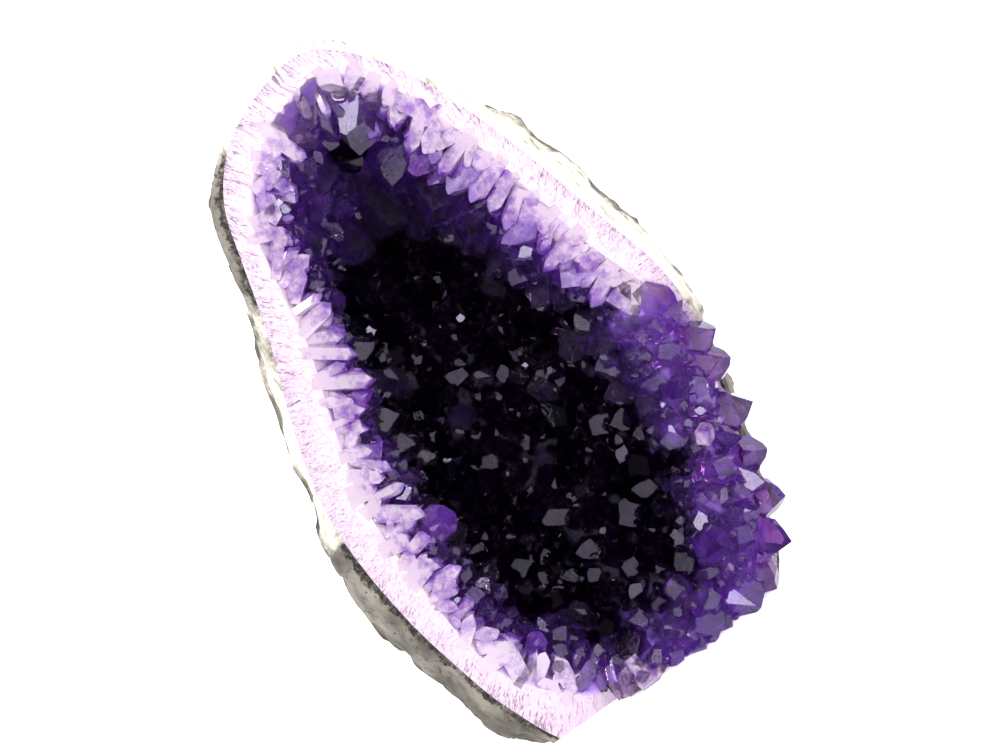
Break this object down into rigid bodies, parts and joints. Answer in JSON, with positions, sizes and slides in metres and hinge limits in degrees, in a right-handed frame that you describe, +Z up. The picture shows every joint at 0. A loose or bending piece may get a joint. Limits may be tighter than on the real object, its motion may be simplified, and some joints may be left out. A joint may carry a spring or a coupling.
{
  "type": "standing amethyst geode",
  "caption": "Tall geode on a cut base: a basalt rind, a milky quartz lining sawn flat at the rim and a hollow lined with dark violet amethyst crystals.",
  "frame": {"origin": "middle of the bounding box, on the cut base", "axes": "+Z up along the geode's height, -Y out of the hollow towards the viewer, +X to the viewer's right"},
  "size_m": [0.1202, 0.0786, 0.1781],
  "materials": {
    "basalt": "matte",
    "milky_quartz": "satin",
    "amethyst": "gloss"
  },
  "bodies": {
    "root": {"basalt_rind": "basalt", "quartz_lining": "milky_quartz", "amethyst_crust": "amethyst"}
  },
  "joints": []
}
